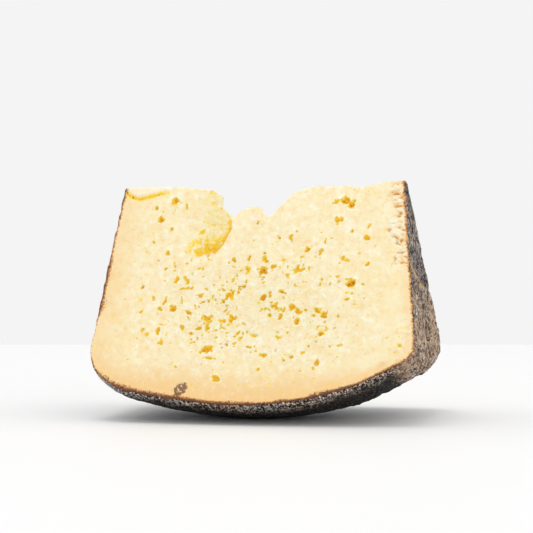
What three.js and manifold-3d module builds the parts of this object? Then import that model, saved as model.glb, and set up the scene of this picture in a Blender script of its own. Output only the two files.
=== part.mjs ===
// A wedge cut from a small, tall wheel of cheese with a rough dark rind.
// The wheel's axis lies along X. The wedge stands on the wheel's rim with its
// tip upwards, one cut face towards -Y and the other towards +Y.
// Millimetres, +Z up. The origin is under the middle of the piece's box.

import * as THREE from 'three';
import { mergeVertices } from 'three/addons/utils/BufferGeometryUtils.js';
import Module from 'manifold-3d';

const wasm = await Module();
wasm.setup();

// ---- the whole wheel, as [distance along the axis, radius] ----
const leftFlankAtAxis = -57;
const rightFlankAtAxis = 55.5;
const rimOutline = [
  [-64.1, 77],
  [-60.5, 86],
  [-50, 92.4],
  [-30, 96.2],
  [-4, 98.4],
  [20, 96.2],
  [41, 90.3],
  [53, 84.2],
  [60, 80.2],
  [63.3, 76.6],
  [64, 72],
  [63.4, 65],
];
const wheelRadius = Math.max(...rimOutline.map(([, radius]) => radius));
const rimSteps = 55;
const turnSteps = 132;

// ---- the wheel isn't quite round: its right shoulder is fuller at the rear ----
const swellStart = 34;
const swellFull = 60;
const swellTurnDegrees = [5, 30];
const swellOutwards = 9.5;
const swellAlong = 1.3;

// ---- the two cuts that free the wedge, from straight down below the axis ----
const frontCutDegrees = 24;
const backCutDegrees = 29;
const cutReach = 130;

// ---- the crest: the tip is cut square and broken in the middle ----
// [distance along the axis, depth below the axis], left to right
const crestOutline = [
  [-60, 6.8],
  [-53, 6],
  [-36, 5.8],
  [-21, 7.2],
  [-16.4, 10],
  [-16.8, 13.4],
  [-14.6, 15.6],
  [-12.6, 17.6],
  [-10.6, 17.5],
  [-8.6, 15.4],
  [-4, 13.7],
  [-0.6, 14],
  [1.6, 17.8],
  [3.8, 17.8],
  [7, 13.8],
  [12.6, 8],
  [20, 6],
  [33, 5.6],
  [39.5, 6.2],
  [49, 4],
  [60, 3.8],
];
const crestMargin = 20;
// the outline is on the front cut face; from there the break runs back at a slant
const crestSlantDegrees = 12;

// ---- the flake that came away below the notch, on the front cut face ----
const flakeCentre = [-25, 31];
const flakeRadii = [10.5, 4.6, 14.5];
const flakeTiltDegrees = 24;
const flakeSegments = [20, 14];

// ---- the foot: the rim is pressed flat where the piece stands ----
const footPress = 0.6;

const axisHeight = wheelRadius - footPress;
const rad = THREE.MathUtils.degToRad;

// A closed solid from a closed geometry, without its collapsed triangles.
function solidFrom(geometry) {
  const bare = geometry.clone();
  bare.deleteAttribute('normal');
  bare.deleteAttribute('uv');
  const merged = mergeVertices(bare, 1e-4);
  const corners = merged.index.array;
  const kept = [];
  for (let i = 0; i < corners.length; i += 3) {
    const [a, b, c] = corners.subarray(i, i + 3);
    if (a !== b && b !== c && c !== a) kept.push(a, b, c);
  }
  return new wasm.Manifold(new wasm.Mesh({
    numProp: 3,
    vertProperties: merged.attributes.position.array,
    triVerts: Uint32Array.from(kept),
  }));
}

// A geometry from a solid, with a flat normal on each facet.
function geometryFrom(solid) {
  const mesh = solid.getMesh();
  const indexed = new THREE.BufferGeometry();
  indexed.setAttribute('position', new THREE.BufferAttribute(mesh.vertProperties, 3));
  indexed.setIndex(new THREE.BufferAttribute(mesh.triVerts, 1));
  const geometry = indexed.toNonIndexed();
  geometry.computeVertexNormals();
  return geometry;
}

// Grows the right shoulder, from nothing under the axis to all of it near the rear cut.
function swellShoulder(geometry) {
  const { smoothstep } = THREE.MathUtils;
  const [turnStart, turnFull] = swellTurnDegrees.map((degrees) => Math.sin(rad(degrees)));
  const points = geometry.attributes.position;
  for (let i = 0; i < points.count; i += 1) {
    const [x, y, z] = [points.getX(i), points.getY(i), points.getZ(i)];
    const radius = Math.max(Math.hypot(y, z), 1e-6);
    const rearwards = smoothstep(y / radius, turnStart, turnFull);
    const share = smoothstep(x, swellStart, swellFull) * rearwards * (radius / wheelRadius);
    const growth = 1 + (swellOutwards * share) / radius;
    points.setXYZ(i, x + swellAlong * share, y * growth, z * growth);
  }
}

// The whole wheel: two slightly hollow flanks joined by a crowned rim.
function wheel() {
  const rim = new THREE.SplineCurve(rimOutline.map(([x, radius]) => new THREE.Vector2(radius, x)));
  const profile = [
    new THREE.Vector2(0, leftFlankAtAxis),
    ...rim.getPoints(rimSteps),
    new THREE.Vector2(0, rightFlankAtAxis),
  ];
  const geometry = new THREE.LatheGeometry(profile, turnSteps);
  geometry.rotateZ(-Math.PI / 2);
  swellShoulder(geometry);
  geometry.translate(0, 0, axisHeight);
  return solidFrom(geometry);
}

// The space between the two cuts, a prism along X with its edge on the axis.
function wedgeSpace() {
  const section = new THREE.Shape();
  section.moveTo(0, 0);
  section.lineTo(-cutReach * Math.tan(rad(frontCutDegrees)), -cutReach);
  section.lineTo(cutReach * Math.tan(rad(backCutDegrees)), -cutReach);
  section.closePath();
  const geometry = new THREE.ExtrudeGeometry(section, { depth: 2 * cutReach, bevelEnabled: false });
  const alongX = new THREE.Matrix4().makeBasis(
    new THREE.Vector3(0, 1, 0),
    new THREE.Vector3(0, 0, 1),
    new THREE.Vector3(1, 0, 0),
  );
  geometry.applyMatrix4(alongX);
  geometry.translate(-cutReach, 0, axisHeight);
  return solidFrom(geometry);
}

// Everything above the crest's outline.
function crestWaste() {
  const [first, last] = [crestOutline[0], crestOutline[crestOutline.length - 1]];
  const outline = new THREE.Shape();
  outline.moveTo(last[0] + crestMargin, crestMargin);
  outline.lineTo(first[0] - crestMargin, crestMargin);
  outline.lineTo(first[0] - crestMargin, -first[1]);
  crestOutline.forEach(([x, depth]) => outline.lineTo(x, -depth));
  outline.lineTo(last[0] + crestMargin, -last[1]);
  outline.closePath();
  const geometry = new THREE.ExtrudeGeometry(outline, { depth: 2 * crestMargin, bevelEnabled: false });
  geometry.rotateX(Math.PI / 2);
  geometry.translate(0, crestMargin, 0);
  const perRearward = -Math.tan(rad(crestSlantDegrees));
  const perUpward = -perRearward * Math.tan(rad(frontCutDegrees));
  geometry.applyMatrix4(new THREE.Matrix4().set(
    1, perRearward, perUpward, 0,
    0, 1, 0, 0,
    0, 0, 1, 0,
    0, 0, 0, 1,
  ));
  geometry.translate(0, 0, axisHeight);
  return solidFrom(geometry);
}

// The flake: a flat ellipsoid lying in the front cut face.
function flakeWaste() {
  const [x, down] = flakeCentre;
  const tilt = rad(flakeTiltDegrees);
  const geometry = new THREE.SphereGeometry(1, ...flakeSegments);
  geometry.scale(...flakeRadii);
  geometry.rotateX(-tilt);
  geometry.translate(x, -down * Math.sin(tilt), axisHeight - down * Math.cos(tilt));
  return solidFrom(geometry);
}

// Everything below the surface that the piece stands on.
function footWaste() {
  const side = 2 * cutReach;
  const geometry = new THREE.BoxGeometry(side, side, side);
  geometry.translate(0, 0, -side / 2);
  return solidFrom(geometry);
}

function cheeseWedge() {
  const solid = wheel()
    .intersect(wedgeSpace())
    .subtract(crestWaste())
    .subtract(flakeWaste())
    .subtract(footWaste());
  const material = new THREE.MeshStandardMaterial({ color: 0xf6e0b0, roughness: 0.62, metalness: 0 });
  const mesh = new THREE.Mesh(geometryFrom(solid), material);
  mesh.name = 'cheese_wedge';
  return mesh;
}

const piece = cheeseWedge();
piece.geometry.computeBoundingBox();
const middle = piece.geometry.boundingBox.getCenter(new THREE.Vector3());
piece.position.set(-middle.x, -middle.y, 0);

const cheese = new THREE.Group();
cheese.add(piece);

export default cheese;
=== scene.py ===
"""The looks of a wedge of holed cheese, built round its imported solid.

The wedge stands on the rim of its wheel with the tip upwards. Every surface
detail is placed by the solid's own two cut faces, by the wheel's axis, which is
where they meet, and by its rind. Shapes are worked out in millimetres and
stored in metres.
"""

import math
from collections import namedtuple

import bmesh
import bpy
import numpy as np
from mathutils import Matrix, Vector
from mathutils.bvhtree import BVHTree


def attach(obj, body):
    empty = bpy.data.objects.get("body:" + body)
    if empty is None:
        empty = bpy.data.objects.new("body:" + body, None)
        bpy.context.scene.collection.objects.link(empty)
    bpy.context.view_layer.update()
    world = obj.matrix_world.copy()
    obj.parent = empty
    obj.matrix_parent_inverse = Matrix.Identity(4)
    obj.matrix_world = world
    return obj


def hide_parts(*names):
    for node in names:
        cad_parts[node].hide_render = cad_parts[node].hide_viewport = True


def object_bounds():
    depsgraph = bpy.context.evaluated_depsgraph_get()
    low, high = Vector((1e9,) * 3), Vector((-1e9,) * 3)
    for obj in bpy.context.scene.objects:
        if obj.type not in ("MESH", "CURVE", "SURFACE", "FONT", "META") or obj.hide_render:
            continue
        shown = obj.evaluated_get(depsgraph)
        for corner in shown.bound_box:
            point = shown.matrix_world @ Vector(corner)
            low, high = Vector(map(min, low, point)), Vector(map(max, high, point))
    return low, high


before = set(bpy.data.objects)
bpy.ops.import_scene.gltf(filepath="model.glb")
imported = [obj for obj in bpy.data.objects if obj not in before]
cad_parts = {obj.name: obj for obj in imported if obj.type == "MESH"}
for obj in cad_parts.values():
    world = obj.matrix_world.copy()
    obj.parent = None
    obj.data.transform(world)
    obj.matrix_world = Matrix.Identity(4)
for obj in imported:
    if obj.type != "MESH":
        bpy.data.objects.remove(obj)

bl_info = {
    "name": "Cheese Wedge",
    "version": (1, 0, 0),
    "blender": (4, 5, 0),
    "location": "3D View > Sidebar > Cheese",
    "description": "Paste, eyes and rind of a wedge of cheese, and the stage it stands on",
    "category": "Object",
}

NODE = "cheese_wedge"
PIECE = "cheese"
MM = 0.001
CAD_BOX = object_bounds()

# Distances from the wheel's axis at which turns are measured as lengths: on the
# rim for the fibres of the rind, and half-way down the flanks for their marks.
FIBRE_RADIUS = 80
FLANK_RADIUS = 62
# The camera looks at this height, and this far beside the middle of the box.
AIM_SHIFT = (-0.0002, -0.0042)
AIM_HEIGHT = 0.06

# An eye is a hole in the paste: its place across a cut face and down from the
# wheel's axis, its width, height and depth, and its lean in degrees.
Eye = namedtuple("Eye", "across down width height lean depth")
# A cut face: its outward normal and offset, the way down it, and the wheel's axis.
CutFace = namedtuple("CutFace", "normal offset down axis")

# The eyes of the front cut face that show most, in rows from the crest down.
# Their depths are drawn later.
FRONT_EYES = (
    (-36.5, 13, 2.4, 3, 0), (-44, 15.5, 1.2, 1.3, 0), (-31.5, 15, 1, 1.8, 20),
    (32.5, 12.5, 3.2, 2.2, -15), (35, 14.5, 2.2, 3.4, 25), (29, 13.5, 1.6, 1.8, 0),
    (-41.5, 21, 2.2, 2.6, 25), (-36.5, 25, 1, 1.8, 30), (-24.5, 26.5, 2.8, 1.6, 40),
    (-18, 25.5, 1.4, 2.2, 10), (30, 21, 1.6, 2.8, 0), (31.8, 20.8, 1.4, 2.4, 0),
    (36.5, 25.5, 0.9, 1.1, 0), (42.5, 23.5, 1.1, 2.2, -30), (42, 28.5, 1.8, 1.7, 0),
    (-43.5, 31, 1, 1, 0), (-37, 35.5, 1.2, 2.2, 35), (12, 28.5, 1.1, 2.6, 15),
    (19, 33.5, 1.8, 1.9, -20), (24, 34.5, 1, 1.8, 10), (26, 30, 0.9, 1.8, 0),
    (-10, 38, 1.6, 1.7, 0), (-4, 37.5, 1.2, 1.9, -10), (2, 37.5, 1.2, 2.2, 0),
    (33.6, 37.5, 1.3, 2.4, 10), (34.8, 38.3, 1.8, 0.9, 0), (43, 40, 1.5, 2.6, -30),
    (-4, 42, 1.3, 2.4, 35), (2.3, 42.7, 2.4, 3, 0), (6, 41, 1.4, 2, 0),
    (15.6, 41.8, 1.5, 3, -25), (17.7, 42, 2.4, 1.3, 20), (-32.5, 46.5, 1.8, 2.8, 0),
    (-28.2, 47, 1.2, 3.4, 30), (-29.6, 50.8, 1.9, 1, 35), (-26, 50.5, 1.2, 1.8, -25),
    (37.5, 47.5, 3.2, 3.3, 0), (-22, 53.5, 1.2, 1.3, 0), (-11, 53.5, 1.5, 2.6, -15),
    (-9.6, 52.5, 1.6, 3.6, 5), (3.2, 54, 2.4, 2, 0), (10, 51.5, 2, 1.7, -30),
    (-36.2, 56, 1.2, 3, -10), (-29.5, 55.5, 0.9, 2.2, 15), (-38, 59, 1.4, 2, 25),
    (-32.6, 59, 2.4, 2.3, 30), (-26, 60.4, 2.1, 1.2, -25), (-26.2, 62.4, 1.2, 1.1, -30),
    (14.6, 58, 2.2, 2, -35), (17.6, 59.6, 2.6, 1.8, -15), (8.6, 58, 1.5, 2.5, 0),
    (25.2, 59.4, 3, 1.8, -35), (27.6, 61.4, 2, 2.8, 25), (36.2, 54.5, 2, 1.2, 20),
    (6.5, 61.5, 1.7, 1.5, -30), (10.6, 62, 1.2, 2.2, 0), (-18.8, 63, 2.8, 2.2, -30),
    (-18, 66.6, 1.3, 3.2, -10), (-21.4, 67.4, 1.9, 1.2, 25), (-8.5, 63.6, 1.8, 3.6, 10),
    (17.3, 63.8, 2.4, 2.4, 0), (-37.5, 68.5, 1.8, 2.6, -20), (-28.2, 66.9, 1.2, 2.2, 25),
    (27, 68.4, 2.2, 2.4, 0), (-5.2, 69, 0.9, 2.6, -35), (-36, 73.5, 1.4, 2.6, 10),
    (-17.3, 75.8, 3.4, 2.2, 35), (-16.9, 79.4, 2.3, 1.1, 0), (16.5, 78.6, 1.6, 1.2, 0),
    (26.4, 80.8, 1.4, 2.1, 0), (5.2, 78, 2.6, 1.5, 0), (-12.6, 87.4, 2.6, 1.8, -35),
)

# The solid's plain flake, as across from and to, down from and to, and its depth,
# and the corner of the notch above it, as across, down.
FLAKE = (-36, -14.4, 16, 46, 5.5)
NOTCH_CORNER = (-17.5, 21.5)
# The parts of the front cut face with a finer net: the break, the folds and the
# crease, as across from and to, down from and to.
FINE_PARTS = ((-32, -10, 10, 44), (46, 99, 0, 42), (-99, -38, 0, 15))
# The right-hand edge of the break below the notch, as down, across.
BREAK_EDGE = ((10, -15), (19, -12.6), (24.5, -12), (28, -13.2), (31, -14.6), (35.5, -17.6), (40, -21))
# The crease under the crest's left end, as across, down.
CREASE = ((-60, 8.2), (-57.5, 9.2), (-54, 11.2), (-51.5, 11.8), (-47.5, 10.8), (-42, 9.2), (-38, 8.6))
# The crack in the right flank and the pale ledge above it, as the turn round the
# axis in degrees and the distance from it.
CRACK = ((3, 45.5), (6, 53.5), (8.3, 59), (5.7, 65.5), (9, 68.5), (7, 73), (10, 78), (14, 81), (15, 87))
LEDGE = ((-24, 39), (-15, 41), (0, 43), (10.5, 46.5))


# ---- small tools

def tone(red, green, blue):
    """A linear colour from screen values of 0 to 255."""
    def linear(value):
        part = value / 255
        return part / 12.92 if part <= 0.04045 else ((part + 0.055) / 1.055) ** 2.4
    return (linear(red), linear(green), linear(blue), 1.0)


def smooth(value, low, high):
    """0 up to low, 1 from high and a smooth change between them; high may be the smaller."""
    share = np.clip((value - low) / (high - low), 0, 1)
    return share * share * (3 - 2 * share)


def lattice(cells, seed):
    """An even spread of values from -1 to 1, one for each whole-number cell."""
    cells = cells.astype(np.int64).astype(np.uint32)
    mixed = cells[:, 0] * np.uint32(374761393) + cells[:, 1] * np.uint32(668265263)
    mixed = mixed + cells[:, 2] * np.uint32(2246822519) + np.uint32(seed * 97 + 13)
    mixed = (mixed ^ (mixed >> np.uint32(15))) * np.uint32(2246822519)
    mixed = (mixed ^ (mixed >> np.uint32(13))) * np.uint32(3266489917)
    mixed = mixed ^ (mixed >> np.uint32(16))
    return mixed / 2147483648.0 - 1


def noise(points, size, seed, octaves=1):
    """Smooth noise from -1 to 1 whose bumps are about size apart; size may differ by axis."""
    total = np.zeros(len(points))
    scaled = points / np.asarray(size, float)
    for octave in range(octaves):
        at = scaled * 2 ** octave + 37.2 * octave
        cell = np.floor(at)
        part = at - cell
        part = part * part * (3 - 2 * part)
        value = np.zeros(len(points))
        for corner in np.ndindex(2, 2, 2):
            weight = np.prod(np.where(corner, part, 1 - part), axis=1)
            value += weight * lattice(cell + corner, seed + octave)
        total += value * 0.5 ** octave
    return total / (2 - 0.5 ** (octaves - 1))


def gap_to_line(across, down, line):
    """How far each point is from a line of joined stretches."""
    best = np.full(len(across), 1e9)
    for (ax, ay), (bx, by) in zip(line, line[1:]):
        length = (bx - ax) ** 2 + (by - ay) ** 2
        share = np.clip(((across - ax) * (bx - ax) + (down - ay) * (by - ay)) / length, 0, 1)
        best = np.minimum(best, np.hypot(across - ax - share * (bx - ax), down - ay - share * (by - ay)))
    return best


# ---- reading the solid

def read(items, name, width=1, kind=float):
    """A number, or a row of width numbers, for each of a mesh's vertices, edges or polygons."""
    values = np.zeros(len(items) * width, kind)
    items.foreach_get(name, values)
    return values.reshape(-1, width) if width > 1 else values


def polygon_facts(mesh):
    """Normals, middles in millimetres and areas of a mesh's polygons."""
    polygons = mesh.polygons
    return read(polygons, "normal", 3), read(polygons, "center", 3) / MM, read(polygons, "area")


def cut_plane(facts, side):
    """Outward normal and offset of the cut that faces -Y or +Y."""
    normals, middles, areas = facts
    flat = (np.abs(normals[:, 0]) < 0.001) & (normals[:, 1] * side > 0.8)
    normal = (normals[flat] * areas[flat, None]).sum(0)
    normal /= np.linalg.norm(normal)
    offset = (middles[flat] @ normal * areas[flat]).sum() / areas[flat].sum()
    return normal, offset


def cut_faces():
    """The front and the rear cut face. The wheel's axis is the line where their planes meet."""
    facts = polygon_facts(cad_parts[NODE].data)
    planes = [cut_plane(facts, side) for side in (-1, 1)]
    rows = np.array([normal[1:] for normal, _ in planes])
    axis = np.array([0, *np.linalg.solve(rows, [offset for _, offset in planes])])
    faces = []
    for normal, offset in planes:
        down = np.array([0, -normal[2], normal[1]])
        down *= -np.sign(down[2])
        faces.append(CutFace(normal, offset, down, axis))
    return faces


def rind_surface(faces):
    """A search tree of the solid's rind: its flanks, rim and foot."""
    axis = faces[0].axis
    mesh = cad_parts[NODE].data
    normals, middles, _ = polygon_facts(mesh)
    from_axis = np.hypot(middles[:, 1] - axis[1], middles[:, 2] - axis[2])
    half_width = np.abs(middles[:, 0]).max()
    flank = (np.abs(normals[:, 0]) > 0.9) & (np.abs(middles[:, 0]) > 0.8 * half_width)
    rim = (from_axis > 0.7 * from_axis.max()) & (normals[:, 2] < 0.35)
    cut = np.zeros(len(normals), bool)
    for face in faces:
        cut |= (normals @ face.normal > 0.999) & (np.abs(middles @ face.normal - face.offset) < 0.05)
    chosen = np.flatnonzero((flank | rim) & ~cut)
    corners = [vertex.co.copy() for vertex in mesh.vertices]
    return BVHTree.FromPolygons(corners, [mesh.polygons[i].vertices[:] for i in chosen])


# ---- shape of the paste

def even_mesh(grid, front):
    """The solid as one even net of small quads with its edges a little worn."""
    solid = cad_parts[NODE]
    piece = bpy.data.objects.new(PIECE, solid.data.copy())
    bpy.context.scene.collection.objects.link(piece)
    remesh = piece.modifiers.new("even", "REMESH")
    remesh.mode = "VOXEL"
    remesh.voxel_size = grid * MM
    evaluated = piece.evaluated_get(bpy.context.evaluated_depsgraph_get())
    mesh = bpy.data.meshes.new_from_object(evaluated)
    piece.modifiers.clear()
    piece.data = mesh
    mesh.name = PIECE
    mesh.materials.clear()
    points = fill_flake(read_points(mesh), front)
    write_points(mesh, wear(mesh, points, rounds=3))
    return piece


def read_points(mesh):
    """The mesh's vertices, in millimetres."""
    return read(mesh.vertices, "co", 3) / MM


def write_points(mesh, points):
    mesh.vertices.foreach_set("co", (points * MM).ravel())
    mesh.update()


def fill_flake(points, front):
    """Brings the solid's plain flake back to the cut face, where the ragged break takes its place."""
    across, down, depth = face_places(points, front)
    left, right, top, bottom, deepest = FLAKE
    inside = (across > left) & (across < right) & (down > top) & (down < bottom) & (depth < deepest)
    below_notch = (across < NOTCH_CORNER[0]) | (down > NOTCH_CORNER[1])
    lift = np.where(inside & below_notch, depth, 0)
    return points + lift[:, None] * front.normal


def wear(mesh, points, rounds):
    """Moves each vertex half-way to the middle of its neighbours, a few times."""
    ends = read(mesh.edges, "vertices", 2, int)
    start, end = ends.T
    count = np.bincount(ends.ravel(), minlength=len(points))[:, None]
    for _ in range(rounds):
        total = np.zeros_like(points)
        for column in range(3):
            total[:, column] = np.bincount(start, points[end, column], len(points))
            total[:, column] += np.bincount(end, points[start, column], len(points))
        points = (points + total / count) / 2
    return points


def face_places(points, face):
    """Distance across and down a cut face, and depth below it."""
    return points[:, 0], (points - face.axis) @ face.down, face.offset - points @ face.normal


def scattered_eyes(shape, count, seed, biggest):
    """Eyes strewn over a cut face, thickest in its middle band and few near the rim."""
    draw = np.random.default_rng(seed)
    eyes = []
    while len(eyes) < count:
        across = draw.uniform(-46, 47)
        down = draw.uniform(10, 84)
        chance = math.exp(-((down - 55) / 22) ** 2) * (0.35 + 0.65 * math.exp(-((across - 2) / 34) ** 2))
        chance = max(chance, 0.16 if down < 40 else 0.05)
        if draw.uniform() > chance:
            continue
        size = min(0.55 + draw.exponential(shape.eye_spread), biggest)
        slender = draw.uniform(0.55, 1.3)
        depth = size * draw.uniform(0.35, 0.9)
        eyes.append(Eye(across, down, size * slender, size / slender, draw.uniform(-60, 60), depth))
    return eyes


def front_eyes(shape):
    """The eyes placed one by one and the small ones between them."""
    draw = np.random.default_rng(shape.seed + 1)
    placed = [Eye(*row, min(row[2], row[3]) * draw.uniform(0.35, 0.6) + 0.3) for row in FRONT_EYES]
    return placed + scattered_eyes(shape, shape.front_count, shape.seed + 2, 1.1)


def rear_eyes(shape):
    """The eyes of the rear cut face, all of them strewn."""
    return scattered_eyes(shape, shape.rear_count, shape.seed + 3, 4.2)


def near_eye(across, down, eye, margin):
    """Which points are within an eye's square and a margin round it."""
    reach = max(eye.width, eye.height) / 2 + margin
    return (np.abs(across - eye.across) < reach) & (np.abs(down - eye.down) < reach)


def eye_depth(across, down, eyes, seed):
    """Depth of the eyes below a cut face, the strength of their golden tint, which deepens with depth
    as painted shade, and their raised edges, which carry a painted highlight.
    """
    flat = np.stack([across, down, np.full(len(across), seed * 3.7)], 1)
    across = across + 0.6 * noise(flat, 1.5, seed, 2)
    down = down + 0.6 * noise(flat, 1.5, seed + 50, 2)
    ragged = noise(flat, 1.15, seed + 90, 3)
    depth, tint, lit_lip = (np.zeros(len(across)) for _ in range(3))
    for eye in eyes:
        near = np.flatnonzero(near_eye(across, down, eye, 0.9))
        turn = math.radians(eye.lean)
        right, below = across[near] - eye.across, down[near] - eye.down
        wide = (right * math.cos(turn) - below * math.sin(turn)) / (eye.width / 2)
        tall = (right * math.sin(turn) + below * math.cos(turn)) / (eye.height / 2)
        out = np.hypot(wide, tall) + 0.95 * ragged[near]
        deep = eye.depth * smooth(out, 1.25, 0.5)
        depth[near] = np.maximum(depth[near], deep)
        tint[near] = np.maximum(tint[near], 0.34 * smooth(out, 1.6, 1.0) + 0.26 * deep)
        # pale raised edge round each eye: a painted highlight where it catches the light
        lit_lip[near] = np.maximum(lit_lip[near], smooth(out, 2.0, 1.4))
    return depth - 0.16 * lit_lip * (depth < 0.05), tint, lit_lip * (tint < 0.05)


def middle_band(across, down):
    """How near a place on a cut face is to the middle band, where the paste is most open."""
    return np.exp(-((down - 57) / 22) ** 2) * np.exp(-((across - 2) / 40) ** 4)


def tear_depth(across, down, rind_gap, points, seed):
    """Small ragged tears between the eyes, crowded in patches of the middle band, with their tint
    and their raised edges, which carry a painted highlight. A patch of fine pits lies in the lower
    right corner."""
    crowd = middle_band(across, down) * smooth(noise(points, 9, seed + 1, 2), -0.5, 0.35)
    corner = smooth(across, 47, 53) * smooth(down, 58, 66)
    corner *= smooth(rind_gap, 0.8, 2) * smooth(rind_gap, 9, 5)
    start = 0.5 - 0.3 * crowd
    pits = noise(points, (1.7, 1.4, 1.4), seed, 3)
    small = noise(points, 0.9, seed + 7, 2)
    depth = 0.7 * smooth(pits, start, start + 0.35) + 0.2 * smooth(small, start + 0.15, start + 0.45)
    tint = 0.55 * smooth(pits, start - 0.05, start + 0.24) + 0.4 * smooth(small, start + 0.1, start + 0.4)
    tint += 0.08 * corner * smooth(small, 0.1, 0.35)
    depth += 0.5 * corner * smooth(noise(points, 1.0, seed + 3, 2), 0.05, 0.5)
    # the raised crumbs beside the tears are marked for a painted highlight
    raised = crowd * smooth(pits, start - 0.35, start - 0.1) * (tint < 0.02)
    return depth - 0.14 * raised, tint, 0.7 * raised


def break_depth(across, down, points):
    """The ragged hollow below the notch, deepest in its lower right corner: its depth, where it is
    rough, its golden tint, which is painted shade low down, in its crevices and beside its wall,
    and its pale crumbs, which are painted highlights."""
    edge_down, edge_across = zip(*BREAK_EDGE)
    wander = 0.5 * noise(points, 2.2, 301, 2)
    inside = np.interp(down, edge_down, edge_across) - across + wander
    wall = smooth(inside, 0, 1.1)
    fade_left = smooth(across, -32, -19)
    teeth = 1.3 * noise(points * [1, 0, 0], 1.5, 303) + 0.7 * noise(points, 0.9, 304)
    floor_end = smooth(down + teeth, 36.4, 34.9)
    below = 0.35 * smooth(down, 41, 37)
    deep = (0.4 + 1.5 * smooth(down, 16, 28) * smooth(across, -30, -15)) * fade_left
    deep += 1.9 * smooth(down, 28, 34) * smooth(across, -28, -23)
    crumbs = (0.65 * noise(points, 3.6, 305, 2) + 0.35 * noise(points, 1.3, 306, 2)) * fade_left
    grit = smooth(noise(points, (1.3, 1.5, 1.5), 307, 3), -0.25, 0.3)
    hollow = wall * ((deep + crumbs) * floor_end + below * (1 - floor_end) * fade_left)
    # painted shade: deeper orange low in the break, in its crevices and in a band beside its wall, over a
    # faint golden tint
    low = smooth(down, 26, 34) * smooth(across, -31, -24)
    shaded_crevice = 0.6 * smooth(crumbs, 0.06, 0.5) * fade_left
    wall_shade = 0.5 * smooth(inside, 3.6, 0.8) * smooth(down, 16, 21) * smooth(down, 37, 35)
    tint = wall * floor_end * (0.12 + 0.88 * grit) * (low * 0.95 + shaded_crevice + wall_shade)
    tint = np.minimum(tint + 0.1 * wall * floor_end * fade_left, 0.56)
    # pale crumbs: painted highlights on the raised crumbs of the break
    pale = 0.25 * wall * fade_left * floor_end * smooth(crumbs, 0.03, -0.22)
    return hollow * smooth(down, 42, 40), 0.8 * wall * fade_left * smooth(down, 38, 35), tint, pale


def crease_depth(across, down):
    """The crease below the crest's left end: a groove with the raised edge above it standing proud.
    Returns its depth, the painted shade in the groove and beneath the raised edge, and the painted
    highlight of that raised edge."""
    gap = gap_to_line(across, down, CREASE)
    ends = smooth(across, -37, -44)
    line_across, line_down = zip(*CREASE)
    above = np.interp(across, line_across, line_down) - down
    groove = 0.6 * smooth(gap, 0.9, 0.1) * ends
    lit_lip = 0.6 * smooth(above, 0.1, 2.2) * ends
    # painted shade in the groove and beneath the raised edge above it
    painted_shade_below = smooth(above, -2.4, -0.2) * smooth(above, 0.4, 0) * smooth(across, -36, -44)
    shade = smooth(gap, 1.3, 0.2) * ends + 0.7 * painted_shade_below
    return groove - lit_lip, shade, lit_lip * smooth(gap, 0.5, 1.2)


def ruffle_depth(across, down, rind_gap, points):
    """Small torn folds beside the right rind: their depth, the painted shade of the golden valleys
    and of one round dent, and the painted highlights of the pale crests.
    """
    band = smooth(across, 44, 49) * smooth(down, 41, 38) * smooth(down, 3, 7)
    reach = 7.4 + 1.8 * noise(points * [0, 0, 1], 4.5, 317) - 1.6 * smooth(down, 26, 12)
    torn = band * smooth(rind_gap, reach, reach - 2.4)
    bent = points + 1.0 * noise(points, 3.4, 311, 2)[:, None] * [0, 0, 1]
    folds = noise(bent, (2.1, 1.8, 0.9), 312, 2)
    crumbs = noise(points, 1.0, 313, 2)
    # painted shade in the valleys between the folds
    shaded_valley = smooth(0.8 * folds + 0.5 * crumbs, 0.06, 0.5)
    height = torn * (0.9 * shaded_valley - 0.5 * smooth(folds, 0.1, -0.4) + 0.5 * crumbs)
    shaded_fold = smooth(np.hypot((across - 51.5) / 3.6, (down - 9.5 + 0.5 * (across - 51.5)) / 1.5), 1.3, 0.5)
    # painted highlight on the crests of the folds
    crest = 0.6 * torn * smooth(folds, 0.1, -0.25)
    return height + 0.4 * shaded_fold, np.maximum(torn * shaded_valley, 0.45 * shaded_fold), crest


def knife_depth(points, seed):
    """The slow waves and fine drag of the knife over a cut face."""
    slow = 0.4 * noise(points, 24, seed, 2)
    drag = 0.1 * noise(points, (2.6, 7, 7), seed + 5, 2)
    fine = 0.05 * noise(points, 0.9, seed + 9)
    return slow + drag + fine


# ---- shape of the rind

def rind_places(points, axis):
    """Turn round the axis in degrees, distance from it, and places unrolled along the rim."""
    beside = points - axis
    turn = np.arctan2(beside[:, 1], -beside[:, 2])
    radius = np.hypot(beside[:, 1], beside[:, 2])
    along = turn * FIBRE_RADIUS
    return np.degrees(turn), radius, np.stack([points[:, 0], along, radius], 1)


def rind_height(places, points, flank):
    """How far the rind stands out: its lumps, and its wrinkles, grain and pits."""
    lumps = 0.9 * noise(points, 17, 401, 2) + 0.55 * noise(points, 5.5, 406, 2)
    bent = places + 1.6 * noise(points, 6, 402)[:, None] * [0, 1, 0]
    across = 1 - 2 * np.abs(noise(bent, (3.4, 5, 4), 403, 2))
    around = 1 - 2 * np.abs(noise(points, (9, 3.6, 5), 407, 2))
    grain = noise(bent, (1.9, 1.2, 1.9), 404, 2)
    pits = smooth(noise(bent, (2.4, 1.8, 2.4), 405, 2), 0.3, 0.75)
    return lumps, 0.35 * across + (0.45 * around - 0.35 * across) * flank + 0.35 * grain - 0.7 * pits


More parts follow.
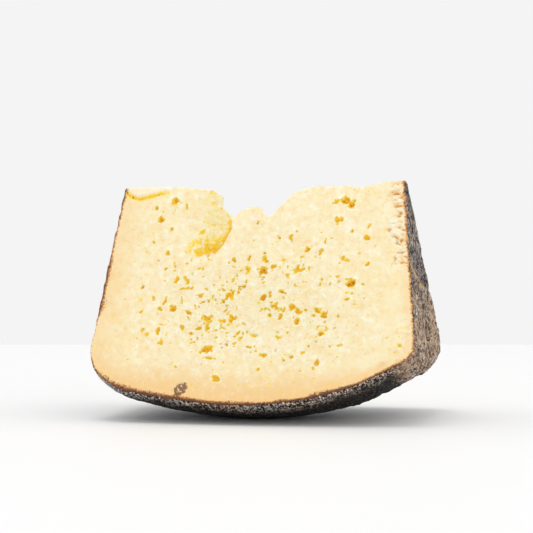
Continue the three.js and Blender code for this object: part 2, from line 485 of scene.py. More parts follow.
def soil_spread(points, front, gap):
    """Where specks of rind lie on the front cut face, from 0 to 1."""
    across, down, depth = face_places(points, front)
    near = smooth(np.abs(depth), 2, 0.5)
    reach = 3.4 + 2.4 * noise(points, 5, 423, 2)
    side = 0.6 * smooth(gap, reach, 0.2) * smooth(across, -40, -50)
    side *= smooth(down, 34, 42) * smooth(down, 66, 58) + smooth(down, 15, 8)
    patch = smooth(noise(points, 7, 421), -0.5, 0.6)
    left = smooth(across, -14, -28) * smooth(across, -56, -46)
    foot = 0.8 * smooth(gap, 1.2 + 1.8 * patch + 1.6 * left, 0.2) * smooth(down, 76, 86)
    spot = smooth(np.hypot(across + 26, down - 92) + 0.9 * noise(points, 1.5, 422), 3.0, 1.6)
    return np.clip(side + foot + 1.4 * spot, 0, 1) * near


def line_mark(turn, radius, path, width):
    """1 on a wandering line down the flank and 0 beyond its width."""
    arc = np.radians(turn) * FLANK_RADIUS
    line = [(math.radians(at) * FLANK_RADIUS, out) for at, out in path]
    spot = np.stack([arc, radius, radius * 0], 1)
    gap = gap_to_line(arc + 1.3 * noise(spot, 3, 411, 3), radius + 1.0 * noise(spot, 3, 412, 2), line)
    return smooth(gap, width * (1.1 + 0.9 * noise(spot, 3, 413, 2)), 0.1)


# ---- making the piece

def refine(mesh, faces, eyes_by_face):
    """Splits the quads where eyes, the break and the folds need a finer net."""
    points = read_points(mesh)
    wanted = np.zeros(len(points), bool)
    for face, eyes in zip(faces, eyes_by_face):
        across, down, depth = face_places(points, face)
        on_face = np.flatnonzero(np.abs(depth) < 0.4)
        marked = np.zeros(len(on_face), bool)
        for eye in eyes:
            marked |= near_eye(across[on_face], down[on_face], eye, 0.7)
        wanted[on_face] |= marked
    across, down, depth = face_places(points, faces[0])
    front = np.abs(depth) < 0.6
    wanted |= front & (middle_band(across, down) > 0.25)
    for left, right, top, bottom in FINE_PARTS:
        wanted |= front & (across > left) & (across < right) & (down > top) & (down < bottom)
    work = bmesh.new()
    work.from_mesh(mesh)
    work.verts.ensure_lookup_table()
    edges = {edge for i in np.flatnonzero(wanted) for edge in work.verts[i].link_edges}
    bmesh.ops.subdivide_edges(work, edges=list(edges), cuts=1, use_grid_fill=True)
    work.to_mesh(mesh)
    work.free()
    mesh.update()


def nearest_rind(points, tree):
    """Distance from each point to the rind, in millimetres."""
    gaps = np.zeros(len(points))
    for i, point in enumerate(points * MM):
        gaps[i] = tree.find_nearest(point)[3]
    return gaps / MM


def store(mesh, name, values):
    """Stores a number or a vector for each vertex, for the materials to read."""
    vectors = np.ndim(values) == 2
    layer = mesh.attributes.new(name, "FLOAT_VECTOR" if vectors else "FLOAT", "POINT")
    layer.data.foreach_set("vector" if vectors else "value", np.asarray(values, np.float32).ravel())


def open_paste(points, gap, face, eyes, near, number):
    """The eyes and tears of a cut face: their depth, their tint with its painted shade, and their
    raised edges for the painted highlight.
    """
    across, down, _ = face_places(points, face)
    on_face = near > 0
    sunk, tint, lit_lip = (np.zeros(len(points)) for _ in range(3))
    found = eye_depth(across[on_face], down[on_face], eyes, 11 + 7 * number)
    sunk[on_face], tint[on_face], lit_lip[on_face] = found
    tears, tear_tint, tear_lit_lip = tear_depth(across, down, gap, points, 61 + 10 * number)
    sunk = np.where(sunk > 0.05, np.maximum(sunk, tears), sunk + tears)
    tint = np.maximum(tint, tear_tint)
    return sunk, tint, np.maximum(lit_lip, tear_lit_lip) * (tint < 0.1)


def add_damage(points, gap, front, sunk, tint, lit_lip):
    """Adds the break, the crease and the folds to the eyes and tears of the front cut face."""
    across, down, _ = face_places(points, front)
    broken, rough, shaded_crevice, pale = break_depth(across, down, points)
    creased, shade, crease_lip_highlight = crease_depth(across, down)
    ruffled, shaded_valley, fold_crest_highlight = ruffle_depth(across, down, gap, points)
    sunk = np.where(broken > 0.1, np.maximum(sunk, broken), sunk) + creased + ruffled
    tint = np.maximum(tint * smooth(broken, 1.5, 0.3), shaded_crevice) + 0.34 * shade
    lit_lip = np.max([lit_lip * smooth(broken, 0.8, 0.2), pale, crease_lip_highlight, fold_crest_highlight], axis=0)
    return sunk, tint, lit_lip, rough, shaded_valley


def shape_paste(points, gap, faces, eyes_by_face):
    """How every vertex moves for the marks of the two cut faces, and how strong the marks are."""
    shift = np.zeros_like(points)
    hollow, raised, crumble, shaded_fold = (np.zeros(len(points)) for _ in range(4))
    inside = smooth(gap, 0.2, 1.5)
    for number, (face, eyes) in enumerate(zip(faces, eyes_by_face)):
        across, down, depth = face_places(points, face)
        near = smooth(np.abs(depth), 1.3, 0.3)
        sunk, tint, lit_lip = open_paste(points, gap, face, eyes, near, number)
        if number == 0:
            sunk, tint, lit_lip, rough, shaded_valley = add_damage(points, gap, face, sunk, tint, lit_lip)
            crumble = rough * near
            shaded_fold = shaded_valley * near
        crumble = np.maximum(crumble, 0.6 * middle_band(across, down) * near)
        sunk = sunk * inside + knife_depth(points, 21 + 31 * number) * smooth(gap, 0, 3)
        shift -= (sunk * near)[:, None] * face.normal
        # hollow carries the golden tint of eyes and tears with its painted shade, and the painted shade of
        # the break and the crease; raised carries the painted highlights
        hollow = np.maximum(hollow, tint * near * inside)
        raised = np.maximum(raised, lit_lip * near * inside)
    return shift, {"hollow": hollow, "raised": raised, "crumble": crumble, "shaded_fold": shaded_fold}


def shape_rind(points, on_rind, axis):
    """How far every vertex of the rind moves outwards, and the marks of the rind."""
    turn, radius, places = rind_places(points, axis)
    x, _, z = points.T
    flank = smooth(np.abs(x), 52, 60)
    lumps, height = rind_height(places, points, flank)
    right = smooth(x, 50, 54)
    crack = line_mark(turn, radius, CRACK, 2.0) * right * on_rind
    ledge = line_mark(turn, radius, LEDGE, 1.7) * right * on_rind
    # the lumps fade at the foot, where the piece stands, and the left flank is smoother
    settle = smooth(z, 0.3, 7)
    even = 1 - 0.6 * smooth(x, -50, -57)
    out = (lumps * settle + height * (0.25 + 0.75 * settle)) * even * on_rind - 1.6 * crack + 0.5 * ledge
    # the rim is drawn in at the lower left
    slump = 1.4 * smooth(x, -28, -46) * smooth(turn, -22, -4) * smooth(radius, 70, 80)
    out -= slump * smooth(z, 1, 6)
    return out, {"flank": flank, "height": height, "crack": crack, "ledge": ledge, "fibre": places}


def edge_tone(points, gap):
    """The tan paste near the rind, wider at the lower left, and a brown smear at the left edge."""
    x, _, z = points.T
    width = 16 - 9 * smooth(x, 10, 50) + 4 * noise(points, 16, 431, 2) + 6 * smooth(z, 30, 8)
    amount = 0.5 + 0.5 * smooth(z, 34, 14)
    edge = amount * (1 - smooth(gap + 2 * noise(points, 4, 433, 2), 0.5, width))
    smear = smooth(x, -44, -56) * smooth(noise(points, (9, 5, 3.2), 434, 2), -0.1, 0.5)
    smear *= smooth(z, 38, 46) * smooth(z, 62, 54)
    return np.maximum(edge, 1.5 * smear * smooth(gap, 9, 1))


def shape_piece(mesh, faces, eyes_by_face):
    """Moves every vertex to its finished place and stores what the materials need. Returns which
    vertices are on the rind."""
    points, normals = read_points(mesh), read(mesh.vertices, "normal", 3)
    x, _, z = points.T
    gap = nearest_rind(points, rind_surface(faces))
    shift, marks = shape_paste(points, gap, faces, eyes_by_face)
    on_rind = smooth(gap, 0.9, 0.1)
    out, rind_marks = shape_rind(points, on_rind, faces[0].axis)
    # the crest is what is neither rind nor cut face
    off_faces = np.min([smooth(np.abs(face_places(points, face)[2]), 0, 1.2) for face in faces], axis=0)
    crest = (1 - on_rind) * off_faces
    out += crest * 0.35 * noise(points, 2.4, 501, 3)
    moved = points + shift + out[:, None] * normals
    # the crest's right-hand corner is worn down
    moved[:, 2] -= 1.7 * smooth(x, 55.5, 60.5) ** 2 * smooth(z, 88, 93)
    moved[:, 2] = np.maximum(moved[:, 2], 0.02)
    write_points(mesh, moved)
    # the crest takes the pale colour of the raised edges: partly a painted highlight along its top, partly
    # paste that is paler where it dried
    marks["raised"] = np.maximum(marks["raised"], crest * smooth(gap, 1.5, 4))
    marks["crumble"] = np.clip(marks["crumble"] + crest, 0, 1)
    # the brown border is narrower low down on the left
    narrow = 0.7 * smooth(x, -50, -56) * smooth(z, 44, 28) * smooth(z, 6, 16)
    marks["rind_gap"] = gap + narrow
    marks["edge"] = edge_tone(points, gap)
    marks["soil"] = soil_spread(points, faces[0], gap)
    for name, values in (marks | rind_marks).items():
        store(mesh, name, values)
    return (gap < 0.35) & (off_faces > 0.15)


def assign_materials(mesh, outside, paste, rind):
    """Rind on the faces whose corners are mostly outside, paste on the rest."""
    mesh.materials.append(paste)
    mesh.materials.append(rind)
    corners = read(mesh.loops, "vertex_index", 1, int)
    totals = read(mesh.polygons, "loop_total", 1, int)
    starts = read(mesh.polygons, "loop_start", 1, int)
    share = np.add.reduceat(outside[corners].astype(float), starts) / totals
    mesh.polygons.foreach_set("material_index", (share > 0.5).astype(np.int32))
    mesh.polygons.foreach_set("use_smooth", np.ones(len(mesh.polygons), bool))
    mesh.update()


# ---- materials

class Nodes:
    """Adds and links the nodes of one tree."""

    def __init__(self, tree, groups=None):
        self.tree = tree
        self.groups = groups

    def plug(self, value, socket):
        """Links a socket to another, or sets it to a constant."""
        if isinstance(value, bpy.types.NodeSocket):
            self.tree.links.new(value, socket)
        else:
            socket.default_value = value

    def add(self, kind, inputs=None, **settings):
        node = self.tree.nodes.new(kind)
        for name, value in settings.items():
            setattr(node, name, value)
        for name, value in (inputs or {}).items():
            self.plug(value, node.inputs[name])
        return node

    def attribute(self, name, output="Fac"):
        return self.add("ShaderNodeAttribute", attribute_name=name).outputs[output]

    def math(self, operation, first, second):
        return self.add("ShaderNodeMath", {0: first, 1: second}, operation=operation).outputs[0]

    def times(self, first, second):
        return self.math("MULTIPLY", first, second)

    def stretch(self, vector, factors):
        return self.add("ShaderNodeVectorMath", {0: vector, 1: factors}, operation="MULTIPLY").outputs[0]

    def span(self, value, low, high, out_low=0.0, out_high=1.0):
        """A smooth change from out_low, where the value is low, to out_high, where it is high."""
        names = {"Value": value, "From Min": low, "From Max": high, "To Min": out_low, "To Max": out_high}
        return self.add("ShaderNodeMapRange", names, interpolation_type="SMOOTHSTEP").outputs[0]

    def noise(self, vector, scale, detail=3.0, roughness=0.55):
        names = {"Vector": vector, "Scale": scale, "Detail": detail, "Roughness": roughness}
        return self.add("ShaderNodeTexNoise", names).outputs[0]

    def mix(self, share, first, second):
        node = self.add("ShaderNodeMix", data_type="RGBA")
        for number, value in ((0, share), (6, first), (7, second)):
            self.plug(value, node.inputs[number])
        return node.outputs[2]

    def ramp(self, share, stops):
        node = self.add("ShaderNodeValToRGB", {"Fac": share})
        elements = node.color_ramp.elements
        while len(elements) < len(stops):
            elements.new(0.5)
        for element, (place, colour) in zip(elements, stops):
            element.position = place
            element.color = colour
        return node.outputs[0]

    def patches(self, vector, size, cover, softness):
        names = {"Vector": vector, "Size": size, "Cover": cover, "Softness": softness}
        return self.add("ShaderNodeGroup", names, node_tree=self.groups["blotch"]).outputs[0]

    def grain(self, vector, coarse, fine, fine_share):
        names = {"Vector": vector, "Coarse": coarse, "Fine": fine, "Fine Share": fine_share}
        return self.add("ShaderNodeGroup", names, node_tree=self.groups["grain"]).outputs[0]


def new_group(name, sizes, output):
    """A shader node group with a vector, some sizes and one output. Returns it, its input sockets
    and its builder."""
    group = bpy.data.node_groups.new(name, "ShaderNodeTree")
    group.interface.new_socket("Vector", in_out="INPUT", socket_type="NodeSocketVector")
    for label, default in sizes.items():
        socket = group.interface.new_socket(label, in_out="INPUT", socket_type="NodeSocketFloat")
        socket.default_value = default
    group.interface.new_socket(output, in_out="OUTPUT", socket_type="NodeSocketFloat")
    return group, group.nodes.new("NodeGroupInput").outputs, Nodes(group)


def blotch_group():
    """Patches: a mask that is 1 inside soft-edged patches of about Size."""
    group, given, nodes = new_group("Blotches", {"Size": 5.0, "Cover": 0.5, "Softness": 0.1}, "Mask")
    value = nodes.noise(given["Vector"], nodes.math("DIVIDE", 1.0, given["Size"]), 4.0, 0.6)
    middle = nodes.math("SUBTRACT", 1.0, given["Cover"])
    low = nodes.math("SUBTRACT", middle, given["Softness"])
    high = nodes.math("ADD", middle, given["Softness"])
    nodes.add("NodeGroupOutput", {"Mask": nodes.span(value, low, high)})
    return group


def grain_group():
    """Grain: a height of two sizes of bumps, for a Bump node."""
    group, given, nodes = new_group("Grain", {"Coarse": 2.0, "Fine": 0.4, "Fine Share": 0.4}, "Height")
    coarse = nodes.noise(given["Vector"], nodes.math("DIVIDE", 1.0, given["Coarse"]), 2.0)
    fine = nodes.noise(given["Vector"], nodes.math("DIVIDE", 1.0, given["Fine"]), 3.0, 0.6)
    height = nodes.math("ADD", coarse, nodes.times(fine, given["Fine Share"]))
    nodes.add("NodeGroupOutput", {"Height": height})
    return group


def new_material(name, groups):
    """A material with a Principled surface. Returns it, its builder, its shader and its places in mm."""
    material = bpy.data.materials.new(name)
    material.use_nodes = True
    nodes = Nodes(material.node_tree, groups)
    shader = material.node_tree.nodes["Principled BSDF"]
    spot = nodes.add("ShaderNodeTexCoord").outputs["Object"]
    return material, nodes, shader, nodes.stretch(spot, (1000.0,) * 3)


def set_surface(nodes, shader, colour, roughness, height, strength, distance):
    """Links a material's colour, roughness and bumps to its shader."""
    bump = nodes.add("ShaderNodeBump", {"Height": height, "Strength": strength, "Distance": distance})
    for name, value in (("Base Color", colour), ("Roughness", roughness), ("Normal", bump.outputs[0])):
        nodes.plug(value, shader.inputs[name])


def paste_ground(nodes, look, spot, gap):
    """The paste itself: clouds, flecks and streaks, tan near the rind, and over them the crumbs as
    painted highlights and painted shade.
    """
    core = nodes.mix(nodes.patches(spot, 9.0, 0.5, 0.16), look.core, look.core_pale)
    fleck = nodes.patches(spot, 1.6, 0.42, 0.12)
    core = nodes.mix(nodes.times(fleck, 0.3), core, look.core_yellow)
    streak = nodes.patches(nodes.stretch(spot, (1.0, 0.4, 0.4)), 3.4, 0.42, 0.2)
    core = nodes.mix(nodes.times(streak, 0.22), core, look.edge)
    colour = nodes.mix(nodes.attribute("edge"), core, look.edge)
    # painted highlights on the crumbs, weaker near the rind, and painted shade between them
    crumb = nodes.noise(spot, 0.42, 5.0, 0.66)
    inner = nodes.span(gap, 3.0, 18.0, 0.25, 1.0)
    crumb_highlight = nodes.times(nodes.span(crumb, 0.5, 0.68, 0.0, 0.6), inner)
    colour = nodes.mix(crumb_highlight, colour, look.lit_lip)
    return nodes.mix(nodes.span(crumb, 0.47, 0.32, 0.0, 0.55), colour, look.painted_crumb_shade)


def paste_border(nodes, look, colour, gap, soil, close):
    """Browns the paste along the rind, in a wavy line that is wider where it is soiled."""
    wavy_gap = nodes.math("ADD", gap, nodes.times(nodes.math("SUBTRACT", close, 0.5), 2.6))
    reach = nodes.math("ADD", 1.25, nodes.times(soil, 2.2))
    share = nodes.math("DIVIDE", wavy_gap, reach)
    colour = nodes.mix(nodes.span(share, 1.0, 0.35), colour, look.border)
    return nodes.mix(nodes.span(share, 0.42, 0.12), colour, look.border_dark)


def paste_eyes(nodes, look, colour, spot):
    """Painted highlights on raised edges, and golden eyes with torn outlines that darken with depth
    to brown floors as painted shade.
    """
    # painted highlight on the raised edges of eyes, tears, crumbs and folds and on the crest
    colour = nodes.mix(nodes.times(nodes.attribute("raised"), 0.75), colour, look.lit_lip)
    hollow = nodes.attribute("hollow")
    torn = nodes.times(nodes.math("SUBTRACT", nodes.noise(spot, 1.3, 3.0, 0.6), 0.49), 1.4)
    hollow = nodes.math("ADD", hollow, nodes.times(torn, nodes.span(hollow, 0.0, 0.15)))
    # from pale rims through gold to brown with depth: the darkening is painted shade
    stops = [(0.1, look.eye_rim), (0.38, look.eye), (0.72, look.eye_deep), (0.98, look.eye_floor_shade)]
    return nodes.mix(nodes.span(hollow, 0.0, 0.3), colour, nodes.ramp(hollow, stops))


def paste_specks(nodes, look, colour, spot, soil):
    """Specks of rind where the paste is soiled."""
    speck = nodes.math("ADD", nodes.noise(spot, 1.0, 4.0, 0.7), nodes.times(soil, 0.23))
    specks = nodes.times(nodes.span(speck, 0.6, 0.7), nodes.span(soil, 0.05, 0.3))
    return nodes.mix(nodes.times(specks, 0.85), colour, look.speck)


def paste_material(look, groups):
    """Moist cream paste, tan and then brown towards the rind, with golden eyes that darken to brown
    with depth as painted shade, and painted highlights and painted shade on its crumbs and folds.
    """
    material, nodes, shader, spot = new_material("cheese_paste", groups)
    gap = nodes.attribute("rind_gap")
    soil = nodes.attribute("soil")
    close = nodes.noise(spot, 1.1, 3.0, 0.6)
    colour = paste_ground(nodes, look, spot, gap)
    colour = paste_border(nodes, look, colour, gap, soil, close)
    colour = paste_eyes(nodes, look, colour, spot)
    # painted shade in the valleys between the folds beside the rind
    shaded_valley = nodes.span(nodes.attribute("shaded_fold"), 0.1, 0.8)
    colour = nodes.mix(nodes.times(shaded_valley, 0.8), colour, look.shaded_fold)
    colour = paste_specks(nodes, look, colour, spot, soil)
    shine = nodes.span(close, 0.3, 0.7, look.roughness - 0.08, look.roughness + 0.1)
    rough = nodes.math("ADD", nodes.attribute("crumble"), 0.3)
    height = nodes.times(nodes.grain(spot, 1.7, 0.5, 0.5), rough)
    set_surface(nodes, shader, colour, shine, height, 0.8, 0.0007)
    shader.inputs["Subsurface Weight"].default_value = look.glow
    shader.inputs["Subsurface Radius"].default_value = (1.0, 0.75, 0.35)
    shader.inputs["Subsurface Scale"].default_value = 0.0025
    shader.inputs["Specular IOR Level"].default_value = 0.35
    return material


def rind_patches(nodes, look, colour, spot, raised):
    """A grey bloom in patches, near the crest and on the left, a dark band and brown patches."""
    grey = nodes.ramp(raised, [(0.46, look.black), (0.52, look.slate), (0.59, look.ash)])
    place = nodes.add("ShaderNodeSeparateXYZ", {"Vector": spot}).outputs
    left = nodes.span(place["X"], -26.0, -44.0, 0.0, 0.85)
    patch = nodes.patches(spot, 13.0, 0.42, 0.07)
    level = nodes.math("ADD", place["Z"], nodes.times(nodes.noise(spot, 0.11, 3.0), 44.0))
    bloom = nodes.math("MAXIMUM", nodes.times(patch, 0.75), nodes.span(level, 64.0, 84.0, 0.0, 0.75))
    colour = nodes.mix(nodes.math("MAXIMUM", bloom, left), colour, grey)
    stain = nodes.times(nodes.span(level, 66.0, 74.0), nodes.span(level, 94.0, 82.0))
    colour = nodes.mix(nodes.times(stain, nodes.span(patch, 0.0, 1.0, 0.4, 0.8)), colour, look.stain)
    return nodes.mix(nodes.times(nodes.patches(spot, 5.0, 0.36, 0.05), 0.4), colour, look.rust)


def rind_flecks(nodes, look, colour, spot, short, flank):
    """Pale flecks that stand in for glints on the rind, weaker on the flanks."""
    flecks = nodes.span(nodes.noise(short, 1.2, 3.0, 0.65), 0.57, 0.6)
    share = nodes.span(nodes.noise(spot, 0.25, 2.0), 0.35, 0.6, 0.6, 1.0)
    share = nodes.times(share, nodes.span(flank, 0.0, 1.0, 1.0, 0.7))
    return nodes.mix(nodes.times(flecks, share), colour, look.fleck)


def rind_damage(nodes, look, colour, thin):
    """The crack with its brown edges, and the bare ledge above it."""
    split = nodes.times(nodes.attribute("crack"), nodes.span(thin, 0.35, 0.6, 0.5, 1.0))
    colour = nodes.mix(nodes.span(split, 0.1, 0.5, 0.0, 0.8), colour, look.crack)
    colour = nodes.mix(nodes.span(split, 0.4, 0.8), colour, look.black)
    ledge = nodes.times(nodes.attribute("ledge"), nodes.span(thin, 0.38, 0.56))
    return nodes.mix(nodes.span(ledge, 0.25, 0.7, 0.0, 0.85), colour, look.ledge)


def rind_material(look, groups):
    """Dry dark rind: near-black rim with pale flecks that stand in for glints, black painted shade on
    its downward-facing part, and grey-brown fibres down the flanks.
    """
    material, nodes, shader, spot = new_material("cheese_rind", groups)
    fibre = nodes.attribute("fibre", "Vector")
    short = nodes.stretch(fibre, (1.0, 0.5, 1.0))
    flank = nodes.attribute("flank")
    thin = nodes.noise(nodes.stretch(fibre, (1.1, 0.55, 1.1)), 0.95, 4.0, 0.7)
    thick = nodes.noise(spot, 0.42, 5.0, 0.75)
    strand = nodes.add("ShaderNodeMix", {0: flank, 2: thin, 3: thick}, data_type="FLOAT").outputs[0]
    raised = nodes.math("ADD", strand, nodes.times(nodes.attribute("height"), 0.12))
    # the palest stop of the rim is the glint colour of the flecks
    rim = nodes.ramp(raised, [(0.51, look.black), (0.55, look.brown), (0.59, look.tan), (0.63, look.fleck)])
    side = nodes.ramp(raised, [(0.38, look.black), (0.47, look.brown), (0.56, look.tan), (0.64, look.pale)])
    colour = rind_patches(nodes, look, nodes.mix(flank, rim, side), spot, raised)
    colour = rind_flecks(nodes, look, colour, spot, short, flank)
    around = nodes.add("ShaderNodeSeparateXYZ", {"Vector": fibre}).outputs["Y"]
    # painted shade: the rim goes black towards its underside, which faces the floor
    painted_shade_below = nodes.times(nodes.span(around, -32.0, -22.0, 0.0, 0.94), nodes.math("SUBTRACT", 1.0, flank))
    colour = nodes.mix(painted_shade_below, colour, look.black)
    colour = rind_damage(nodes, look, colour, thin)
    shine = nodes.span(strand, 0.3, 0.7, 0.9, 0.6)
    set_surface(nodes, shader, colour, shine, nodes.grain(short, 0.8, 0.3, 0.6), 1.0, 0.0009)
    shader.inputs["Specular IOR Level"].default_value = 0.3
    return material


# ---- settings

def paint(name, description, *tones):
    """A colour setting, from screen values of 0 to 255."""
    return bpy.props.FloatVectorProperty(
        name=name, description=description, subtype="COLOR", size=4, min=0, max=1, default=tone(*tones)
    )


def measure(name, description, default, **limits):
    """A number setting."""
    return bpy.props.FloatProperty(name=name, description=description, default=default, **limits)


def tally(name, description, default):
    """A whole-number setting."""
    return bpy.props.IntProperty(name=name, description=description, default=default, min=0)


class CheeseShapeSettings(bpy.types.PropertyGroup):
    """Sizes of the wedge's surface detail, in millimetres."""

    grid: measure("Net", "Spacing of the surface net in mm", 0.68, min=0.4, max=3)
    eye_spread: measure("Eye spread", "How much eyes differ in size, in mm", 0.6, min=0, max=3)
    front_count: tally("Small front eyes", "Eyes strewn over the front cut face", 120)
    rear_count: tally("Rear eyes", "Eyes strewn over the rear cut face", 190)
    seed: tally("Seed", "Start of the random draws", 7)


class CheesePasteSettings(bpy.types.PropertyGroup):
    """Colours of the paste."""

    core: paint("Core", "Paste in the middle", 250, 231, 184)
    core_pale: paint("Pale core", "Paler clouds in the middle", 252, 238, 202)
    core_yellow: paint("Yellow flecks", "Flecks in the middle", 250, 226, 166)
    # painted shade between the crumbs
    painted_crumb_shade: paint("Crumb shade", "Between the crumbs", 244, 208, 144)
    edge: paint("Edge", "Paste near the rind", 245, 207, 144)
    # painted highlight of raised edges, crumbs and the crests of the folds; on the crest partly a painted
    # highlight, partly paste that is paler where it dried
    lit_lip: paint("Lip", "Raised edges of the eyes and the dry crest", 255, 252, 238)
    speck: paint("Speck", "Specks of rind on the paste", 108, 66, 52)
    # painted shade: the golden brown of the valleys between the folds beside the rind
    shaded_fold: paint("Fold", "Between the folds beside the rind", 238, 182, 84)
    border: paint("Border", "Paste beside the rind", 196, 130, 60)
    border_dark: paint("Dark border", "Where paste turns to rind", 84, 58, 42)
    eye_rim: paint("Eye rim", "Upper walls of the eyes", 255, 230, 146)
    eye: paint("Eye", "Walls of the eyes", 255, 220, 80)
    eye_deep: paint("Deep eye", "Lower walls of the eyes", 255, 200, 40)
    # painted shade in the deepest eyes
    eye_floor_shade: paint("Eye floor", "Bottoms of the deepest eyes", 176, 104, 18)
    roughness: measure("Roughness", "Roughness of the paste", 0.52, subtype="FACTOR", min=0, max=1)
    glow: measure("Glow", "Share of light that scatters inside", 0.35, subtype="FACTOR", min=0, max=1)


class CheeseRindSettings(bpy.types.PropertyGroup):
    """Colours of the rind."""

    # black is also the painted shade of the rim's underside
    black: paint("Black", "Valleys", 22, 19, 19)
    brown: paint("Brown", "Fibres", 120, 92, 70)
    tan: paint("Tan", "Ridges", 178, 146, 118)
    pale: paint("Pale", "Highest ridges of the flanks", 220, 194, 164)
    slate: paint("Slate", "Fibres of the grey patches", 80, 82, 94)
    ash: paint("Ash", "Grey ridges", 196, 186, 178)
    # pale flecks painted as glints on the rind
    fleck: paint("Fleck", "Pale flecks", 255, 244, 226)
    stain: paint("Stain", "The dark band across the flanks", 44, 44, 54)
    rust: paint("Rust", "Brown patches", 150, 104, 66)
    crack: paint("Crack", "Edges of the crack", 128, 84, 48)
    ledge: paint("Ledge", "Bare paste on the ledge above the crack", 226, 194, 136)


class CheeseStageSettings(bpy.types.PropertyGroup):
    """The floor, the light and the camera."""

    azimuth: measure("Azimuth", "Turn of the camera from the front", math.radians(12.2), subtype="ANGLE")
    elevation: measure("Elevation", "Camera above the horizon", math.radians(1.33), subtype="ANGLE")
    distance: measure("Distance", "Camera to the piece", 0.8, subtype="DISTANCE")
    lens: measure("Lens", "Focal length in mm", 135.1, min=20)
    far_edge: measure("Far edge", "Floor behind the piece", 0.457, subtype="DISTANCE")
    floor: measure("Floor", "Paleness of the floor", 0.94, subtype="FACTOR", min=0, max=1)
    key: measure("Key", "Power of the soft box above", 6.6, subtype="POWER")
    fill: measure("Fill", "Power of the light from the front", 1.4, subtype="POWER")
    sky: measure("Sky", "Light from all round", 0.895, min=0)
    backdrop: measure("Backdrop", "Brightness behind the floor", 0.905)


# ---- operators

class CHEESE_OT_wedge(bpy.types.Operator):
    """Build the wedge: its paste with eyes and break, and its wrinkled rind"""

    bl_idname = "cheese.wedge"
    bl_label = "Wedge"

    def execute(self, context):
        shape = context.scene.cheese_shape
        faces = cut_faces()
        eyes_by_face = [front_eyes(shape), rear_eyes(shape)]
        piece = even_mesh(shape.grid, faces[0])
        refine(piece.data, faces, eyes_by_face)
        outside = shape_piece(piece.data, faces, eyes_by_face)
        groups = {"blotch": blotch_group(), "grain": grain_group()}
        paste = paste_material(context.scene.cheese_paste, groups)
        rind = rind_material(context.scene.cheese_rind, groups)
        assign_materials(piece.data, outside, paste, rind)
        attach(piece, "root")
        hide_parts(NODE)
        return {"FINISHED"}


class CHEESE_OT_stage(bpy.types.Operator):
    """Set the stage: a plain pale floor, soft light and the camera"""

    bl_idname = "cheese.stage"
    bl_label = "Stage"

    def execute(self, context):
        stage = context.scene.cheese_stage
        build_floor(stage)
        build_lights(context, stage)
        build_camera(context, stage)
        context.scene.view_settings.view_transform = "Standard"
        return {"FINISHED"}


def stage_directions(stage):
    """Unit vectors from the piece to the camera's side, to the camera's right, and to the camera."""
    near = Vector((math.sin(stage.azimuth), -math.cos(stage.azimuth), 0))
    right = Vector((math.cos(stage.azimuth), math.sin(stage.azimuth), 0))
    back = near * math.cos(stage.elevation) + Vector((0, 0, math.sin(stage.elevation)))
    return near, right, back


def build_floor(stage):
    """A wide plain floor whose far edge is a little behind the piece."""
    near, right, _ = stage_directions(stage)
    half_width, front = 2.5, 2.5
    corners = [
        right * side * half_width + near * reach
        for side, reach in ((-1, front), (1, front), (1, -stage.far_edge), (-1, -stage.far_edge))
    ]
    mesh = bpy.data.meshes.new("floor")
    mesh.from_pydata(corners, [], [(0, 1, 2, 3)])
    floor = bpy.data.objects.new("floor", mesh)
    bpy.context.scene.collection.objects.link(floor)
    material = bpy.data.materials.new("floor")
    material.use_nodes = True
    shader = material.node_tree.nodes["Principled BSDF"]
    shader.inputs["Base Color"].default_value = (stage.floor,) * 3 + (1,)
    shader.inputs["Roughness"].default_value = 0.6
    shader.inputs["Specular IOR Level"].default_value = 0.2
    mesh.materials.append(material)


def area_light(name, place, aim, size, power):
    """A soft box at a place, turned to what it lights."""
    data = bpy.data.lights.new(name, "AREA")
    data.shape = "RECTANGLE"
    data.size, data.size_y = size
    data.energy = power
    lamp = bpy.data.objects.new(name, data)
    lamp.location = place
    lamp.rotation_euler = (Vector(aim) - Vector(place)).to_track_quat("-Z", "Y").to_euler()
    bpy.context.scene.collection.objects.link(lamp)


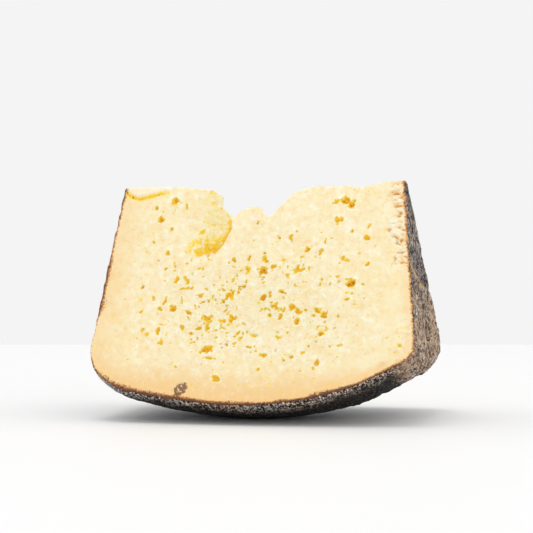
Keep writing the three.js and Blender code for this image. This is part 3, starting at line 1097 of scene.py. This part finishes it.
def build_lights(context, stage):
    """The soft box above, the light from the front, and the even light from all round."""
    near, right, _ = stage_directions(stage)
    area_light("key", near * 0.2 - right * 0.28 + Vector((0, 0, 2.0)), (0, 0, 0), (1.0, 0.4), stage.key)
    area_light("fill", near * 1.3 + right * 0.7 + Vector((0, 0, 0.5)), (0, 0, 0.05), (1.0, 0.7), stage.fill)
    world = bpy.data.worlds.new("studio")
    world.use_nodes = True
    context.scene.world = world
    nodes = Nodes(world.node_tree)
    background = world.node_tree.nodes["Background"]
    seen = nodes.add("ShaderNodeLightPath").outputs["Is Camera Ray"]
    level = nodes.add("ShaderNodeMapRange", {"Value": seen, "To Min": stage.sky, "To Max": stage.backdrop})
    nodes.plug(level.outputs[0], background.inputs["Strength"])
    background.inputs["Color"].default_value = (1, 1, 1, 1)


def build_camera(context, stage):
    """A long lens low in front of the piece."""
    low, high = CAD_BOX
    _, _, back = stage_directions(stage)
    aim = (low + high) / 2
    aim.x += AIM_SHIFT[0]
    aim.y += AIM_SHIFT[1]
    aim.z = AIM_HEIGHT
    data = bpy.data.cameras.new("camera")
    data.lens = stage.lens
    data.sensor_width = 36
    camera = bpy.data.objects.new("camera", data)
    camera.location = aim + back * stage.distance
    camera.rotation_euler = (-back).to_track_quat("-Z", "Y").to_euler()
    context.scene.collection.objects.link(camera)
    context.scene.camera = camera


class CHEESE_PT_panel(bpy.types.Panel):
    """Lists the steps that build the cheese and its stage"""

    bl_label = "Cheese"
    bl_idname = "CHEESE_PT_panel"
    bl_space_type = "VIEW_3D"
    bl_region_type = "UI"
    bl_category = "Cheese"

    def draw(self, context):
        for step in STEPS:
            self.layout.operator(step.bl_idname)
        for name in SETTINGS:
            box = self.layout.box()
            settings = getattr(context.scene, name)
            for key in settings.bl_rna.properties.keys():
                if key not in {"rna_type", "name"}:
                    box.prop(settings, key)


STEPS = (CHEESE_OT_wedge, CHEESE_OT_stage)
SETTINGS = {
    "cheese_shape": CheeseShapeSettings,
    "cheese_paste": CheesePasteSettings,
    "cheese_rind": CheeseRindSettings,
    "cheese_stage": CheeseStageSettings,
}


def register():
    for cls in (*SETTINGS.values(), *STEPS, CHEESE_PT_panel):
        bpy.utils.register_class(cls)
    for name, cls in SETTINGS.items():
        setattr(bpy.types.Scene, name, bpy.props.PointerProperty(type=cls))


def unregister():
    for name in SETTINGS:
        delattr(bpy.types.Scene, name)
    for cls in reversed((*SETTINGS.values(), *STEPS, CHEESE_PT_panel)):
        bpy.utils.unregister_class(cls)


def main():
    register()
    bpy.ops.cheese.wedge()
    bpy.ops.cheese.stage()


if __name__ == "__main__":
    main()
